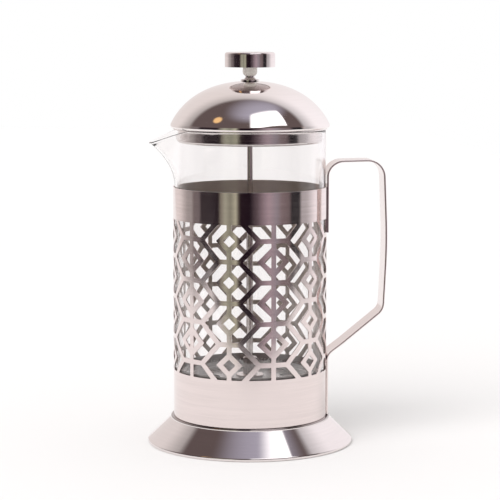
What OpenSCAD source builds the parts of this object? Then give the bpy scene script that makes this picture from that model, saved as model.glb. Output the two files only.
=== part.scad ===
// French press: a glass beaker in a pierced steel frame, with a domed lid and a filter plunger.
// Millimetres, +Z up. The origin is the centre of the base, on the surface it stands on.
// The handle is on +X and the pouring spout on -X. The plunger is stored pressed down.

/* [Beaker] */
// Outer diameter of the glass
beaker_od = 97.4; // [78:0.2:120]
// Thickness of the glass wall
glass_wall = 1.8; // [1.2:0.1:3]
// Thickness of the glass bottom
glass_floor = 2.4; // [1.6:0.1:4]
// Glass that stands above the steel sleeve
glass_above = 36.85; // [28:0.05:60]
// How far the spout reaches out from the glass
spout_reach = 16.2; // [8:0.2:22]
// Half of the angle that the spout takes up
spout_half_angle = 34; // [24:1:45]
// How much the lip drops for each millimetre that it reaches out
spout_droop = 0.5; // [0:0.05:0.7]

/* [Sleeve] */
// Height of the sleeve
sleeve_h = 148.8; // [110:0.2:200]
// Thickness of the sleeve's sheet
sleeve_sheet = 0.6; // [0.4:0.05:1.2]
// Radial gap between the sleeve and the glass
sleeve_gap = 0.3; // [0.2:0.05:1]
// Height of the plain band at the top
top_band = 20.2; // [8:0.1:30]
// Height of the plain band at the bottom
bottom_band = 30.7; // [8:0.1:45]

/* [Lattice] */
// Columns round the sleeve; an odd number keeps the seam panel's two neighbours alike
columns = 11; // [7:2:17]
// Height of one whole repeat
row_pitch = 26.1; // [18:0.1:36]
// From the top band down to the first line of cross bars
first_row = 10.1; // [5:0.1:12]
// Direction of the first column after the seam panel, from the handle
first_column_turn = 19.6; // [10:0.1:24]
// Width of the upright bars
strut_w = 3.1; // [2:0.1:5]
// Height of the cross bars
bar_h = 3; // [2:0.1:5]
// Width of the slanting strips
strip_w = 3.2; // [2:0.1:4.5]

/* [Base] */
// Height of the flared base
base_h = 17.3; // [12:0.1:26]
// How far the base flares out beyond the sleeve
flare_out = 16.9; // [10:0.1:24]
// Thickness of the base's sheet
base_sheet = 0.8; // [0.6:0.05:1.2]
// Width of the ring that the base stands on
foot_w = 4; // [2.5:0.1:8]
// Height of the ring that the glass stands on
seat_rise = 0.8; // [0.4:0.1:2]

/* [Handle] */
// Width of the handle's strip
handle_w = 19; // [12:0.5:26]
// Thickness of the handle's strip
handle_t = 1.2; // [1:0.1:2.5]
// From the sleeve to the middle of the grip
handle_reach = 37.7; // [30:0.1:50]
// From the sleeve's top edge up to the handle's top
handle_above = 16; // [8:0.1:24]
// Length of the upper leg on the sleeve
upper_leg = 29.6; // [15:0.1:45]
// Height at which the slanting part leaves the sleeve, above the base
lower_bend_up = 39.4; // [30:0.1:60]
// Height of the grip's lower corner, above the base
grip_bottom_up = 68.2; // [55:0.1:85]

/* [Lid] */
// How far the lid reaches beyond the glass
lid_overhang = 2.4; // [1.6:0.1:5]
// Height of the dome above the glass
dome_h = 30.6; // [20:0.1:45]
// Thickness of the dome's sheet
dome_sheet = 0.7; // [0.5:0.05:1.2]
// Thickness of the pan's sheet
pan_sheet = 0.6; // [0.4:0.05:1]
// Depth of the pan's skirt inside the glass
skirt_h = 8.5; // [6:0.1:16]
// Radial gap between the skirt and the glass
skirt_gap = 0.4; // [0.3:0.05:1.5]
// Radius of the guide bush's flange
bush_flange_r = 6; // [4.5:0.1:9]
// Height of the guide bush above the dome
bush_h = 3.15; // [2:0.05:6]

/* [Plunger] */
// Diameter of the rod
rod_d = 3.8; // [3:0.1:6]
// Diameter of the knob
knob_d = 32.2; // [24:0.2:44]
// Height of the knob
knob_h = 9.4; // [6:0.1:20]
// Length of the neck under the knob
neck_h = 5.7; // [4:0.1:10]
// Largest radius of the neck
neck_r = 4.7; // [3.8:0.05:7]
// Room left for the grounds, from the glass bottom to the filter
grounds_room = 20; // [14:0.5:30]
// Height of the filter's upturned rim
filter_rim_h = 8; // [5:0.1:12]
// Diameter of the holes in the spiral plate
plate_hole_d = 13; // [8:0.5:15]
// Turns of the filter's spring
spring_turns = 48; // [36:1:60]

/* [Hidden] */
$fn = 96;

// Clearances
rest_gap = 0.05;        // between a piece and the one it only rests on
fixed_gap = 0.03;       // between pieces that are screwed or pressed together
running_gap = 0.05;     // radial, between the rod and its bush
filter_gap = 0.3;       // radial, between the filter's rim and the glass
cut_over = 1;           // how far a cutting shape runs past what it cuts

// Radii
glass_r = beaker_od / 2;
glass_inner_r = glass_r - glass_wall;
sleeve_inner_r = glass_r + sleeve_gap;
sleeve_r = sleeve_inner_r + sleeve_sheet;
flare_r = sleeve_r + flare_out;
lid_r = glass_r + lid_overhang;
skirt_r = glass_inner_r - skirt_gap;
rod_r = rod_d / 2;

// Heights
sleeve_top = base_h + sleeve_h;
seat_z = base_h + base_sheet + seat_rise;
glass_bottom = seat_z + rest_gap;
rim_z = sleeve_top + glass_above;
lid_bottom = rim_z + rest_gap;
dome_top = lid_bottom + dome_h;
bush_top = dome_top + bush_h;
neck_bottom = bush_top + rest_gap;
knob_bottom = neck_bottom + neck_h;
knob_top = knob_bottom + knob_h;
mesh_z = glass_bottom + glass_floor + grounds_room;

// Lattice
lattice_bottom = base_h + bottom_band;
lattice_top = sleeve_top - top_band;
column_angle = 360 / columns;
column_pitch = sleeve_r * column_angle * PI / 180;
half_row = row_pitch / 2;
window_half_h = half_row - bar_h / 2;
narrow_bar = 0.24 * column_pitch;       // half length of the cross bars in odd columns
wide_bar = 0.325 * column_pitch;        // and in even ones
narrow_diamond = 0.224 * column_pitch;  // half width of the diamonds, to the strip's middle
wide_diamond = 0.3 * column_pitch;
diamond_rise = 0.95;                    // height over width of a diamond
diamond_strip = strip_w * sqrt(1 + 1 / pow(diamond_rise, 2));
zigzag_run = (column_pitch - narrow_bar - wide_bar) / half_row;
zigzag_strip = strip_w * sqrt(1 + pow(zigzag_run, 2));
row_count = ceil((lattice_top - lattice_bottom) / half_row) + 2;

// Small pieces
bush_tube_r = rod_r + 1.5;
bush_tube_len = 7;
bush_neck_r = rod_r + 1.05;
nut_r = bush_tube_r + 2.4;
nut_h = 2.6;
knob_sheet = 0.8;
knob_edge_r = 1;
insert_recess = 0.6;
rod_end_cover = 2;
mesh_sheet = 0.4;
plate_sheet = 0.8;
plate_rim_h = 3.4;
cross_sheet = 1;
cross_rim_h = 3;
hub_flange_r = 9;
hub_flange_h = 1.2;
hub_r = 4.5;
hub_h = 12.6;
end_nut_r = 6;
end_nut_h = 5;
spring_wire_r = 0.35;
spring_coil_r = 2.2;

STEEL = "#b3a9a8";
BRIGHT = "#cfc6c6";
SATIN = "#c4bdb6";
DARK_STEEL = "#7d7675";
GLASS = [0.86, 0.9, 0.92, 0.35];

// ---- Curves and sheets ----

function unit(v) = v / norm(v);
function left_of(v) = [-v.y, v.x];

// Points of an arc that rounds corner b, between a and c, to radius r
function rounded(a, b, c, r, steps) =
    let (back = unit(a - b), on = unit(c - b), half = acos(back * on) / 2)
    let (start = b + back * r / tan(half), centre = b + unit(back + on) * r / sin(half))
    let (from = start - centre, side = sign(cross(on, back)), sweep = 180 - 2 * half)
    [for (i = [0:steps])
        let (t = side * sweep * i / steps)
        centre + [from.x * cos(t) - from.y * sin(t), from.x * sin(t) + from.y * cos(t)]];

// Path through corners given as [x, y, radius]; a radius of 0 stays sharp
function path_of(corners, steps = 8) =
    [for (i = [0:len(corners) - 1])
        let (p = [corners[i].x, corners[i].y], last = len(corners) - 1)
        each i == 0 || i == last || corners[i].z == 0
            ? [p]
            : rounded([corners[i - 1].x, corners[i - 1].y], p,
                      [corners[i + 1].x, corners[i + 1].y], corners[i].z, steps)];

// The path moved sideways by d, to its left
function shifted(path, d) =
    [for (i = [0:len(path) - 1])
        let (into = unit(path[max(i, 1)] - path[max(i, 1) - 1]))
        let (out = unit(path[min(i + 1, len(path) - 1)] - path[min(i, len(path) - 2)]))
        let (mid = unit(left_of(into) + left_of(out)))
        path[i] + mid * d / (mid * left_of(into))];

// Outline of a sheet of thickness t whose middle follows the path
function sheet_outline(path, t) =
    let (a = shifted(path, t / 2), b = shifted(path, -t / 2))
    concat(a, [for (i = [len(b) - 1:-1:0]) b[i]]);

// Cubic curve from a to d with handles b and c
function curve(a, b, c, d, steps) =
    [for (i = [0:steps])
        let (t = i / steps, s = 1 - t)
        s * s * s * a + 3 * s * s * t * b + 3 * s * t * t * c + t * t * t * d];

// Sheet turned round the axis
module spun_sheet(path, t) {
    rotate_extrude() polygon(sheet_outline(path, t));
}

// Flat ring standing on z
module ring(outer, inner, z, h) {
    translate([0, 0, z]) linear_extrude(h) difference() {
        circle(outer);
        circle(inner);
    }
}

// Solid between the rings of points in a list; a ring goes up one side of a strip and down the other
module skin(rings) {
    count = len(rings[0]);
    last = len(rings) - 1;
    top = count - 1;
    sides = [for (i = [0:last - 1], j = [0:top])
        let (k = (j + 1) % count, a = i * count, b = a + count)
        each [[a + j, b + j, b + k], [a + j, b + k, a + k]]];
    start = [for (j = [0:count / 2 - 2]) [j, j + 1, top - j - 1, top - j]];
    end = [for (j = [0:count / 2 - 2]) [for (k = [top - j, top - j - 1, j + 1, j]) last * count + k]];
    polyhedron([for (r = rings) each r], concat(sides, start, end));
}

// ---- Frame ----

function is_wide(column) = column % 2 == 0;
function half_width(column) = column_pitch - (is_wide(column) ? narrow_bar : wide_bar);
function diamond_half(column) = is_wide(column) ? wide_diamond : narrow_diamond;
// Cross bars of wide columns lie on even half rows, and those of narrow columns on odd ones
function cell_z(column, row) = lattice_top - first_row - half_row * (row - (is_wide(column) ? 0 : 1));
function diamond_fits(column, z) =
    let (reach = (diamond_half(column) + diamond_strip / 2) * diamond_rise)
    z + reach <= lattice_top && z - reach >= lattice_bottom;

// One side of a cell: between the upright bar, the cross bars and the zigzag strip
module cell_window(column, z) {
    reach = half_width(column) - zigzag_strip / 2;
    corner = reach - window_half_h * zigzag_run;
    outer = diamond_half(column) + diamond_strip / 2;
    notch = (outer - strut_w / 2) * diamond_rise;
    edge = [[corner, window_half_h], [reach, 0], [corner, -window_half_h]];
    bar = strut_w / 2;
    inner = diamond_fits(column, z)
        ? [[bar, -window_half_h], [bar, -notch], [outer, 0], [bar, notch], [bar, window_half_h]]
        : [[bar, -window_half_h], [bar, window_half_h]];
    intersection() {
        polygon(concat(edge, inner));
        translate([0, lattice_bottom - z]) square([reach + cut_over, lattice_top - lattice_bottom]);
    }
}

// Hole through one side of a diamond; the upright bar runs through the wide ones only
module diamond_window(column) {
    reach = diamond_half(column) - diamond_strip / 2;
    bar = is_wide(column) ? strut_w / 2 : 0;
    polygon([[bar, -(reach - bar) * diamond_rise], [reach, 0], [bar, (reach - bar) * diamond_rise]]);
}

// Cuts a flat outline through the sleeve's wall, straight at the middle of the outline
module pierce(turn, side, middle, z) {
    rotate([0, 0, turn + side * middle / sleeve_r * 180 / PI])
        translate([sleeve_inner_r - cut_over, 0, z])
        rotate([90, 0, 90])
        linear_extrude(sleeve_sheet + 2 * cut_over)
        mirror([side < 0 ? 1 : 0, 0])
        translate([-middle, 0])
        children();
}

module lattice_windows() {
    for (column = [0:columns - 1], row = [-1:row_count]) {
        turn = first_column_turn + column * column_angle;
        z = cell_z(column, row);
        on_cell = (row + 2) % 2 == 1;
        in_reach = z - window_half_h < lattice_top - cut_over && z + window_half_h > lattice_bottom + cut_over;
        if (on_cell && in_reach) {
            for (side = [-1, 1]) {
                beside_seam = (column == 0 && side < 0) || (column == columns - 1 && side > 0);
                if (!beside_seam)
                    pierce(turn, side, half_width(column) / 2, z) cell_window(column, z);
                if (!beside_seam && is_wide(column) && diamond_fits(column, z))
                    pierce(turn, side, wide_diamond / 2, z) diamond_window(column);
            }
            if (!is_wide(column) && diamond_fits(column, z))
                pierce(turn, 1, 0, z) union() {
                    diamond_window(column);
                    mirror([1, 0]) diamond_window(column);
                }
        }
    }
}

module sleeve() {
    color(STEEL) difference() {
        ring(sleeve_r, sleeve_inner_r, base_h, sleeve_h);
        lattice_windows();
    }
}

module flared_base() {
    half = base_sheet / 2;
    inner_ring = 6;         // width of the flat ring under the sleeve
    ledge = 1.9;            // step round the sleeve's foot, and its depth down to the flare
    ledge_h = base_sheet + 0.7;
    ledge_bend = half + 0.1;
    edge_h = 1.7;           // height at which the flare turns down
    color(BRIGHT) spun_sheet(path_of([
        [sleeve_inner_r - inner_ring, base_h - half, 0],
        [sleeve_r + ledge - half, base_h - half, ledge_bend],
        [sleeve_r + ledge - half, base_h - ledge_h, ledge_bend],
        [flare_r - half, edge_h, 0.8],
        [flare_r - half, half, 0.5],
        [flare_r - foot_w, half, 0]]), base_sheet);
}

// Disc that closes the sleeve's foot, with a raised ring for the glass to stand on
module base_floor() {
    low = base_h + base_sheet / 2;
    high = low + seat_rise;
    seat_out = glass_r - 9; // outer and inner radius of the raised ring's flat
    seat_in = glass_r - 20;
    run = 2;                // how far out each slope between ring and floor runs
    color(STEEL) spun_sheet(path_of([
        [0, low, 0],
        [seat_in - run, low, 1],
        [seat_in, high, 1],
        [seat_out, high, 1],
        [seat_out + run, low, 1],
        [sleeve_inner_r - fixed_gap, low, 0]], 4), base_sheet);
}

// Bent strip; its legs are hollowed to lie on the sleeve and its grip is flat
module handle_strip() {
    leg = sleeve_r + fixed_gap + handle_t / 2;
    grip = leg + handle_reach;
    top = sleeve_top + handle_above;
    low_bend = base_h + lower_bend_up;
    low_corner = base_h + grip_bottom_up;
    middle = (top + low_corner) / 2;
    grip_slope = 0.043;     // how much the grip's two halves lean in, for each millimetre of height
    grip_bow_r = 380;       // radius of the bow between them
    path = path_of([
        [leg, base_h + 0.2, 0],
        [leg, low_bend, 8],
        [grip - grip_slope * (middle - low_corner), low_corner, 9],
        [grip, middle - 4, grip_bow_r],
        [grip - grip_slope * (top - middle), top + 0.6, 11],
        [leg, top, 10],
        [leg, sleeve_top - upper_leg, 0]], 7);
    outer = shifted(path, -handle_t / 2);
    inner = shifted(path, handle_t / 2);
    across = 8;             // facets across the strip
    fade = 9;               // distance from the leg over which the strip turns flat
    // A leg's cross-section is an arc round the axis, and this share of its hollow is left further out
    function hollow(p) = max(0, 1 - (p.x - leg) / fade);
    function across_strip(p, share, y) =
        [p.x - share * (p.x - sqrt(p.x * p.x - y * y)), y, p.y];
    rings = [for (i = [0:len(path) - 1])
        let (share = hollow(path[i]))
        concat([for (j = [0:across]) across_strip(outer[i], share, handle_w * (j / across - 0.5))],
               [for (j = [across:-1:0]) across_strip(inner[i], share, handle_w * (j / across - 0.5))])];
    color(STEEL) skin(rings);
}

// ---- Beaker ----

spout_inset = 0.15;                     // the spout's wall starts this far inside both faces of the glass
spout_bottom = sleeve_top + 0.9;
// Share of the full reach at an angle from the spout's middle
function spout_share(angle) =
    abs(angle) >= spout_half_angle ? 0 : pow(0.5 + 0.5 * cos(180 * angle / spout_half_angle), 1.2);
function lip_z(angle) = rim_z - 2 * spout_inset - spout_droop * spout_reach * spout_share(angle);
function spout_bulge(angle, up) = spout_reach * spout_share(angle) * up * up;

// One upright strip of the spout's wall at an angle, as a closed loop of points
function spout_strip(angle, steps) =
    let (low = spout_bottom - 2, high = lip_z(angle))
    let (outer = [for (j = [0:steps])
        let (z = low + (high - low) * j / steps)
        let (up = max(0, (z - spout_bottom) / (high - spout_bottom)))
        [glass_r - spout_inset + spout_bulge(angle, up), z]])
    let (thick = glass_wall - 2 * spout_inset)
    concat(outer, [for (j = [steps:-1:0]) [outer[j].x - thick, outer[j].y]]);

module spout() {
    reach = spout_half_angle + 2;
    steps = 22;             // facets round the spout
    skin([for (i = [0:steps])
        let (angle = reach - 2 * reach * i / steps, a = 180 + angle)
        [for (p = spout_strip(angle, 11)) [p.x * cos(a), p.x * sin(a), p.y]]]);
}

// Upright wedge of the rim that the spout takes the place of
module spout_gap() {
    half = spout_half_angle - 1;
    away = glass_r * 2;
    translate([0, 0, spout_bottom + 2]) linear_extrude(glass_above) polygon([
        [-glass_r / 3, 0], [-away * cos(half), away * sin(half)], [-away * cos(half), -away * sin(half)]]);
}

module glass_beaker() {
    floor_z = glass_bottom + glass_floor;
    edge_r = 0.5;
    heel_r = 6;             // outside, between the wall and the bottom
    outline = path_of([
        [0, glass_bottom, 0], [glass_r, glass_bottom, heel_r], [glass_r, rim_z, edge_r],
        [glass_inner_r, rim_z, edge_r], [glass_inner_r, floor_z, heel_r - glass_wall], [0, floor_z, 0]]);
    color(GLASS) union() {
        difference() {
            rotate_extrude() polygon(outline);
            spout_gap();
        }
        spout();
    }
}

// ---- Lid ----

hem_z = lid_bottom + pan_sheet + fixed_gap + dome_sheet / 2;

module lid_dome() {
    top = dome_top - dome_sheet / 2;
    edge = lid_r - dome_sheet / 2;
    shoulder = hem_z + 2.2; // height at which the dome turns down into its hem
    crown = 0.63;           // the curve's handles, as shares of the edge radius and the height
    flank = [0.9, 0.42];
    dome = curve([0, top], [crown * edge, top], [flank.x * edge, hem_z + flank.y * dome_h],
                 [edge - 0.1, shoulder], 24);
    start = bush_tube_r + fixed_gap;
    rise = [for (p = dome) if (p.x > start + 1) p];
    hem = path_of([[edge - 0.1, shoulder, 0], [edge + 0.1, hem_z, 1.2], [skirt_r - 1, hem_z, 0]], 6);
    color(BRIGHT) spun_sheet(concat([[start, top]], rise, [for (i = [1:len(hem) - 1]) hem[i]]), dome_sheet);
}

// Drawn pan under the dome: flange on the glass, skirt inside it, and a floor that catches drips
module lid_pan() {
    half = pan_sheet / 2;
    skirt = skirt_r - half;
    floor_z = lid_bottom - skirt_h + half;
    boss_r = rod_r + 7;     // raised middle, where the rod goes through
    boss_h = 4;
    color(STEEL) spun_sheet(path_of([
        [glass_r + 0.9, lid_bottom + half, 0],
        [skirt, lid_bottom + half, 0.6],
        [skirt, floor_z, 1.4],
        [boss_r + 5, floor_z, 3],
        [boss_r, floor_z + boss_h, 3],
        [rod_r + 1.3, floor_z + boss_h, 0]], 6), pan_sheet);
}

module guide_bush() {
    bore_r = rod_r + running_gap;
    outline = concat(
        [[bore_r, dome_top - bush_tube_len], [bush_tube_r, dome_top - bush_tube_len],
         [bush_tube_r, dome_top + fixed_gap]],
        path_of([[bush_flange_r, dome_top + fixed_gap, 0], [bush_flange_r, dome_top + 0.9, 0.4],
                 [bush_neck_r + 0.3, dome_top + 1.5, 1.4], [bush_neck_r, bush_top, 0],
                 [bore_r, bush_top, 0]], 6));
    color(DARK_STEEL) rotate_extrude() polygon(outline);
}

module bush_nut() {
    top = dome_top - dome_sheet - 0.25;     // the dome falls away that much across the nut
    color(STEEL) translate([0, 0, top - nut_h]) linear_extrude(nut_h) difference() {
        circle(nut_r, $fn = 6);
        circle(bush_tube_r + fixed_gap);
    }
}

// ---- Plunger ----

module knob_shell() {
    half = knob_sheet / 2;
    r = knob_d / 2 - half;
    color(STEEL) spun_sheet(path_of([
        [0, knob_top - half, 0], [r, knob_top - half, knob_edge_r], [r, knob_bottom, 0]]), knob_sheet);
}

module knob_insert() {
    r = knob_d / 2 - knob_sheet - fixed_gap;
    low = knob_bottom + insert_recess;
    high = knob_top - knob_sheet - fixed_gap;
    rod_end = high - rod_end_cover;
    color(SATIN) rotate_extrude() polygon(path_of([
        [rod_r + fixed_gap, low, 0], [r, low, 0], [r, high, knob_edge_r], [0, high, 0],
        [0, rod_end + fixed_gap, 0], [rod_r + fixed_gap, rod_end + fixed_gap, 0]], 5));
}

module knob_neck() {
    bore_r = rod_r + fixed_gap;
    top = knob_bottom + insert_recess - fixed_gap;
    heel = 0.9;             // rise of the bowl's bottom
    color(SATIN) rotate_extrude() polygon(concat(
        [[bore_r, top], [bore_r, neck_bottom]],
        path_of([[bush_neck_r, neck_bottom, 0], [neck_r, neck_bottom + heel, neck_r - bush_neck_r + 1.2],
                 [neck_r - 0.1, top, 0]], 12)));
}

rod_bottom = mesh_z - mesh_sheet / 2 - cross_sheet - end_nut_h - 1;
module plunger_rod() {
    top = knob_top - knob_sheet - fixed_gap - rod_end_cover;
    color(STEEL) translate([0, 0, rod_bottom]) cylinder(r = rod_r, h = top - rod_bottom);
}

plate_z = mesh_z + mesh_sheet / 2 + fixed_gap + plate_sheet / 2;
spring_r = glass_inner_r - filter_gap - mesh_sheet - spring_coil_r - spring_wire_r - 0.2;
plate_r = spring_r - spring_coil_r - spring_wire_r - 0.15;

module hub_nut() {
    z = plate_z + plate_sheet / 2 + fixed_gap;
    bore_r = rod_r + fixed_gap;
    color(DARK_STEEL) rotate_extrude() polygon(concat([[bore_r, z]], path_of([
        [hub_flange_r, z, 0], [hub_flange_r, z + hub_flange_h, 0.4], [hub_r, z + hub_flange_h, 0.8],
        [hub_r, z + hub_h, 0.8], [bore_r, z + hub_h, 0]], 5)));
}

module spiral_plate() {
    holes = 8;
    hole_ring = (hub_flange_r + plate_r) / 2 + 1;
    color(STEEL) difference() {
        spun_sheet(path_of([
            [rod_r + fixed_gap, plate_z, 0], [plate_r - plate_sheet / 2, plate_z, 1.2],
            [plate_r - plate_sheet / 2, plate_z + plate_rim_h, 0]], 5), plate_sheet);
        for (i = [0:holes - 1])
            rotate([0, 0, i * 360 / holes]) translate([hole_ring, 0, plate_z - plate_sheet])
                cylinder(d = plate_hole_d, h = 2 * plate_sheet);
    }
}

// Long thin coil bent round into a ring that presses the mesh outwards
module filter_spring() {
    per_turn = 8;
    count = spring_turns * per_turn;
    z = mesh_z + mesh_sheet / 2 + fixed_gap + spring_coil_r + spring_wire_r;
    function centre(i) =
        let (round_ring = 360 * i / count, round_coil = 360 * i / per_turn)
        let (r = spring_r + spring_coil_r * cos(round_coil))
        [r * cos(round_ring), r * sin(round_ring), z + spring_coil_r * sin(round_coil)];
    function wire_ring(i) =
        let (p = centre(i), along = unit(centre(i + 1) - centre(i - 1)))
        let (mid = [spring_r * cos(360 * i / count), spring_r * sin(360 * i / count), z])
        let (up = unit(p - mid), a = unit(up - along * (up * along)), b = cross(along, a))
        [for (j = [0:3]) p + spring_wire_r * (a * cos(90 * j) + b * sin(90 * j))];
    color(STEEL) skin([for (i = [0:count - 2]) wire_ring(i)]);
}

module filter_mesh() {
    r = glass_inner_r - filter_gap - mesh_sheet / 2;
    color(SATIN) spun_sheet(path_of([
        [rod_r + fixed_gap, mesh_z, 0], [r, mesh_z, 1.6], [r, mesh_z + filter_rim_h, 0]], 5), mesh_sheet);
}

// Bottom plate: a rim, a hub and four arms
module cross_plate() {
    z = mesh_z - mesh_sheet / 2 - fixed_gap - cross_sheet / 2;
    r = plate_r + 2;
    arm_w = 9;
    hub = 11;
    inside = r - 5;         // radius of the windows' outer edge
    color(STEEL) difference() {
        spun_sheet(path_of([
            [rod_r + fixed_gap, z, 0], [r, z, 1.4], [r, z - cross_rim_h, 0]], 5), cross_sheet);
        for (i = [0:3])
            rotate([0, 0, 90 * i]) translate([0, 0, z - cross_sheet]) linear_extrude(2 * cross_sheet)
                intersection() {
                    difference() {
                        circle(inside);
                        circle(hub);
                    }
                    translate([arm_w / 2, arm_w / 2]) square(r);
                }
    }
}

module end_nut() {
    top = mesh_z - mesh_sheet / 2 - cross_sheet - 2 * fixed_gap;
    color(DARK_STEEL) translate([0, 0, top - end_nut_h]) linear_extrude(end_nut_h) difference() {
        circle(end_nut_r, $fn = 6);
        circle(rod_r + fixed_gap);
    }
}

sleeve();
flared_base();
base_floor();
handle_strip();
glass_beaker();
lid_dome();
lid_pan();
guide_bush();
bush_nut();
knob_shell();
knob_insert();
knob_neck();
plunger_rod();
hub_nut();
spiral_plate();
filter_spring();
filter_mesh();
cross_plate();
end_nut();
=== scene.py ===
# %% [markdown]
# # A French press in steel and glass
# A one-litre press: a glass beaker stands in a pierced steel sleeve on a flared base. A domed lid covers
# it, and a knob on a rod pushes a mesh filter down through the coffee. The measured parts are loaded first
# and are never changed. What the eye needs finer than they are, such as the mirror-bright dome, is turned
# again here from the same measurements and stands in for its measured part.

# %% Load the measured parts
import math

import bmesh
import bpy
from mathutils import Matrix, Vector


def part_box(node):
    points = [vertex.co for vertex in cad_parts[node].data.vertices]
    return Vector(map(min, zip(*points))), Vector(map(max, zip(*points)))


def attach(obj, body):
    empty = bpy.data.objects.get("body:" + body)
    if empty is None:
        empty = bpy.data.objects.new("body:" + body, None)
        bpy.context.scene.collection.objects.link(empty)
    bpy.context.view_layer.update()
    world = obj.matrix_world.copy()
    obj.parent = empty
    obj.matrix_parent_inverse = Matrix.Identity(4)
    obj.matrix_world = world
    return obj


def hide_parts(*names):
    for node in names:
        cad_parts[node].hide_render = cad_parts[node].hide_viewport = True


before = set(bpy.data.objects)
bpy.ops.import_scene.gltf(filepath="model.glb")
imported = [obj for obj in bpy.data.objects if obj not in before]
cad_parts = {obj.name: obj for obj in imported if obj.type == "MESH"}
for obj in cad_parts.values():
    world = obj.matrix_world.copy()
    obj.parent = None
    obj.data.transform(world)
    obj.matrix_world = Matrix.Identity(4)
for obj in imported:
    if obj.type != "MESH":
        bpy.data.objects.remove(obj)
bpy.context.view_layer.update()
MM = 0.001

# %% [markdown]
# ## The press's own measurements
# Everything is in millimetres, as on a drawing, and is turned into metres only when a mesh is made. Heights
# and radii that a neighbour depends on are read from the measured parts, so the pieces always meet.

# %% Measurements
def size_of(node):
    """Lowest and highest corner of a measured part, in millimetres."""
    low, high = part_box(node)
    return low / MM, high / MM


def radius_of(node):
    """Largest radius of a measured part that is round about the axis."""
    return size_of(node)[1].y


SHEET = 0.6  # the sleeve's sheet steel
PAN_SHEET = 0.6
WELD_GAP = 0.03  # left between parts that are pressed or welded together
SEAT_GAP = 0.05  # left where one part rests or slides on another
GLASS_GAP = 0.3  # between the glass and the sleeve
sleeve_low, sleeve_high = (corner.z for corner in size_of("sleeve"))
sleeve_r = radius_of("sleeve")
glass_low = size_of("glass_beaker")[0].z
rim_z = size_of("lid_pan")[1].z - PAN_SHEET - SEAT_GAP  # the pan's flange lies on the glass
glass_r = sleeve_r - SHEET - GLASS_GAP
glass_wall = 1.8
flare_r = radius_of("flared_base")
hem_low, dome_top = (corner.z for corner in size_of("lid_dome"))
lid_r = radius_of("lid_dome")
rod_r = radius_of("plunger_rod")
knob_low, knob_high = (corner.z for corner in size_of("knob_shell"))
print(f"sleeve {sleeve_r:.2f} x {sleeve_high - sleeve_low:.1f} mm")
print(f"rim at {rim_z:.2f}, dome top {dome_top:.2f} mm")

# %% [markdown]
# ## Drawing in section
# Most of a press is round, and a maker draws round work as half a section: a line of corners, each with its
# bend radius. `bent` rounds the corners as a press tool would, and `sheet` gives the line the thickness of
# the metal.

# %% Section tools
def bent(corners, steps=10):
    """A line through corners (x, y, radius), each rounded to its radius."""
    line = []
    for i, (x, y, r) in enumerate(corners):
        here = Vector((x, y))
        if r == 0 or i in (0, len(corners) - 1):
            line.append(here)
            continue
        back = (Vector(corners[i - 1][:2]) - here).normalized()
        on = (Vector(corners[i + 1][:2]) - here).normalized()
        half = back.angle(on) / 2
        centre = here + (back + on).normalized() * r / math.sin(half)
        start = here + back * r / math.tan(half) - centre
        turn = (math.pi - 2 * half) * (1 if on.x * back.y - on.y * back.x > 0 else -1)
        for k in range(steps + 1):
            a = turn * k / steps
            line.append(centre + Vector((start.x * math.cos(a) - start.y * math.sin(a),
                                         start.x * math.sin(a) + start.y * math.cos(a))))
    return line


def shifted(line, d):
    """The line moved sideways by d, to its left."""
    moved = []
    for i, p in enumerate(line):
        into = (line[max(i, 1)] - line[max(i, 1) - 1]).normalized()
        out = (line[min(i + 1, len(line) - 1)] - line[min(i, len(line) - 2)]).normalized()
        left = Vector((-into.y, into.x))
        mid = (left + Vector((-out.y, out.x))).normalized()
        moved.append(p + mid * d / mid.dot(left))
    return moved


def sheet(line, thickness):
    """Closed outline of sheet metal whose middle follows the line."""
    return shifted(line, thickness / 2) + shifted(line, -thickness / 2)[::-1]


def cubic(a, b, c, d, steps):
    """Points along a cubic curve from a to d with handles b and c."""
    return [((1 - t) ** 3 * Vector(a) + 3 * (1 - t) ** 2 * t * Vector(b)
             + 3 * (1 - t) * t * t * Vector(c) + t ** 3 * Vector(d))
            for t in (k / steps for k in range(steps + 1))]


example = bent([(0, 0, 0), (5, 0, 2), (5, 5, 0)], steps=3)
print("a bend of 2 mm:", [tuple(round(v, 2) for v in p) for p in example])

# %% [markdown]
# ## Turning a section on the lathe
# A modifier could spin the line, but a mesh written ring by ring keeps exact points and shades cleanly.
# Corners sharper than 35 degrees stay crisp, and everything gentler shades as one smooth surface, which is
# what lets polished steel mirror the room without showing its facets.

# %% Lathe
SAME_POINT = 1e-7  # metres
ON_AXIS = 1e-6  # millimetres


def finish_mesh(obj, sharp=35):
    """Outward faces, smooth shading, and crisp edges where the metal really turns a corner."""
    bm = bmesh.new()
    bm.from_mesh(obj.data)
    bmesh.ops.remove_doubles(bm, verts=bm.verts, dist=SAME_POINT)
    bmesh.ops.dissolve_degenerate(bm, dist=SAME_POINT, edges=bm.edges)
    bmesh.ops.recalc_face_normals(bm, faces=bm.faces)
    bm.to_mesh(obj.data)
    bm.free()
    obj.data.polygons.foreach_set("use_smooth", [True] * len(obj.data.polygons))
    obj.data.set_sharp_from_angle(angle=math.radians(sharp))
    return obj


def make_piece(name, points, faces):
    """A mesh object from points in millimetres."""
    mesh = bpy.data.meshes.new(name)
    mesh.from_pydata([Vector(p) * MM for p in points], [], faces)
    obj = bpy.data.objects.new(name, mesh)
    bpy.context.scene.collection.objects.link(obj)
    return obj


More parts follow.
